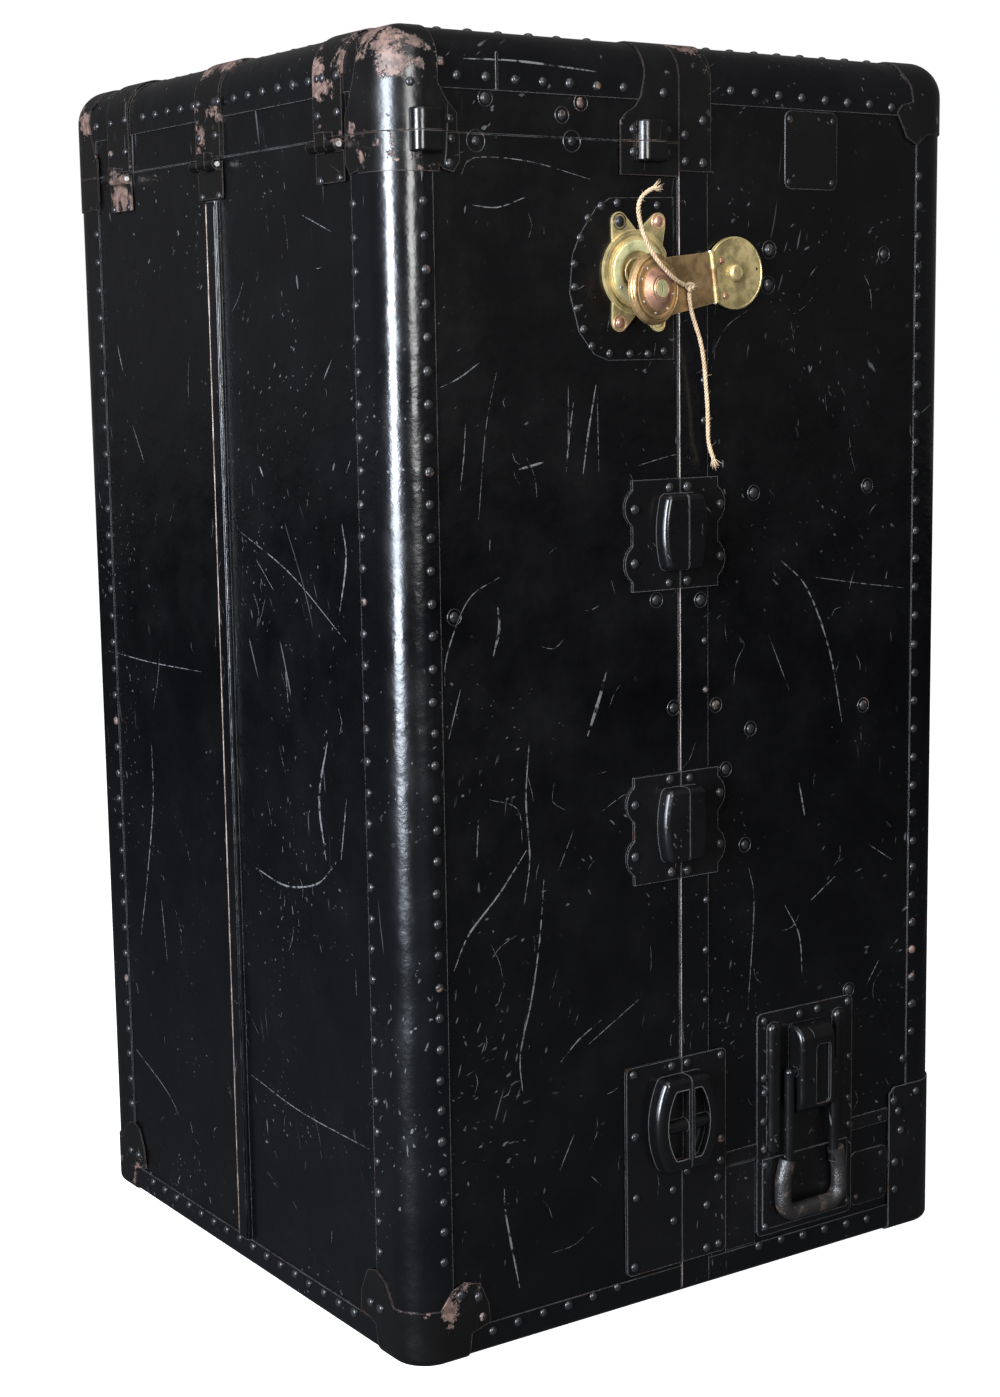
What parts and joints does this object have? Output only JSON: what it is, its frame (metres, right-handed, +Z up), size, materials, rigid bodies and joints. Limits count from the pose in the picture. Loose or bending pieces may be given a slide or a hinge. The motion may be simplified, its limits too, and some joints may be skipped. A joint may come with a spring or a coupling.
{
  "type": "wardrobe trunk",
  "caption": "Upright wardrobe trunk that opens like a book, with a lift-up lid, drawers, sliding hangers, a carrying handle and a folding hasp lock.",
  "frame": {"origin": "middle of the footprint of the whole closed trunk, on the floor", "axes": "+Z up, front face with the lock and handle towards -Y, hanging half with the lift-up lid towards -X, drawer half towards +X"},
  "size_m": [0.6038, 0.6268, 1.077],
  "materials": {
    "panel": "black japanned vulcanised fibre over plywood, scratched",
    "binding": "black enamelled steel binding, gloss, chipped",
    "cap": "black enamelled steel with worn brown patches",
    "lining": "printed paper and cloth lining",
    "brass": "tarnished brass with worn edges",
    "steel": "bright worn steel",
    "wood": "stained hardwood",
    "grip": "black stitched leather grip",
    "twine": "natural jute twine"
  },
  "bodies": {
    "hanging_half": {"left_shell": "panel", "left_lining": "lining", "closing_tongue": "steel", "left_corner_bindings": "binding", "left_bottom_binding": "binding", "left_foot_caps": "cap", "left_centre_band": "binding", "lid_collars": "cap", "lid_hinge_leaves_lower": "cap", "lid_hinge_pins": "steel", "lid_dowels_lower": "cap", "lock_backing": "panel", "lock_base": "brass", "seam_dowels_left": "cap", "foot_catch_left": "cap", "back_hinge_leaves_left": "cap", "back_hinge_pins": "steel", "hanger_rails": "steel"},
    "lid": {"lid_shell": "panel", "lid_binding": "binding", "lid_caps": "cap", "lid_hinge_leaves_upper": "cap", "lid_dowels_upper": "cap"},
    "drawer_half": {"right_shell": "panel", "right_lining": "lining", "right_bottom_binding": "binding", "closing_band": "binding", "right_top_binding": "binding", "right_corner_bindings": "binding", "right_foot_caps": "cap", "right_top_caps": "cap", "seam_clamps": "cap", "back_hinge_leaves_right": "cap", "seam_dowels_right": "cap", "foot_catch_right": "cap", "hasp_pivot": "brass", "handle_plate": "cap", "handle_bracket": "cap", "hat_shelf": "wood", "drawer_runners": "wood"},
    "hasp_swivel": {"hasp_disc": "brass", "hasp_pin": "steel"},
    "hasp": {"hasp_strap": "brass", "hasp_dome": "brass", "string_knot": "twine", "string_upper": "twine", "string_lower": "twine"},
    "key_plug": {"lock_plug": "brass"},
    "handle": {"handle_bail": "cap", "handle_grip": "grip"},
    "hanger_trolley": {"trolley": "steel", "hangers": "wood"},
    "drawer_1_body": {"drawer_1": "wood", "drawer_1_pull": "steel"},
    "drawer_2_body": {"drawer_2": "wood", "drawer_2_pull": "steel"},
    "drawer_3_body": {"drawer_3": "wood", "drawer_3_pull": "steel"},
    "drawer_4_body": {"drawer_4": "wood", "drawer_4_pull": "steel"}
  },
  "joints": [
    {"name": "halves_hinge", "type": "hinge", "parent": "hanging_half", "child": "drawer_half", "pos_m": [-0.0131, 0.30673, 0.52], "axis": [0, 0, 1], "range_deg": [0, 180]},
    {"name": "lid_hinge", "type": "hinge", "parent": "hanging_half", "child": "lid", "pos_m": [-0.2974, 0.01073, 0.9875], "axis": [0, -1, 0], "range_deg": [0, 105]},
    {"name": "hasp_turn", "type": "hinge", "parent": "drawer_half", "child": "hasp_swivel", "pos_m": [0.0454, -0.28027, 0.889], "axis": [0, -1, 0], "range_deg": [-16, 0]},
    {"name": "hasp_fold", "type": "hinge", "parent": "hasp_swivel", "child": "hasp", "pos_m": [0.01866, -0.28627, 0.88524], "axis": [-0.1392, 0, 0.9903], "range_deg": [-11, 130]},
    {"name": "key_turn", "type": "hinge", "parent": "hasp", "child": "key_plug", "pos_m": [-0.05408, -0.30666, 0.87502], "axis": [0.189, -0.9816, 0.0266], "range_deg": [0, 90]},
    {"name": "handle_swing", "type": "hinge", "parent": "drawer_half", "child": "handle", "pos_m": [0.1314, -0.28927, 0.182], "axis": [-1, 0, 0], "range_deg": [0, 110]},
    {"name": "trolley_slide", "type": "slide", "parent": "hanging_half", "child": "hanger_trolley", "axis": [1, 0, 0], "range_m": [0, 0.18]},
    {"name": "drawer_1_slide", "type": "slide", "parent": "drawer_half", "child": "drawer_1_body", "axis": [-1, 0, 0], "range_m": [0, 0.235]},
    {"name": "drawer_2_slide", "type": "slide", "parent": "drawer_half", "child": "drawer_2_body", "axis": [-1, 0, 0], "range_m": [0, 0.235]},
    {"name": "drawer_3_slide", "type": "slide", "parent": "drawer_half", "child": "drawer_3_body", "axis": [-1, 0, 0], "range_m": [0, 0.235]},
    {"name": "drawer_4_slide", "type": "slide", "parent": "drawer_half", "child": "drawer_4_body", "axis": [-1, 0, 0], "range_m": [0, 0.235]}
  ]
}
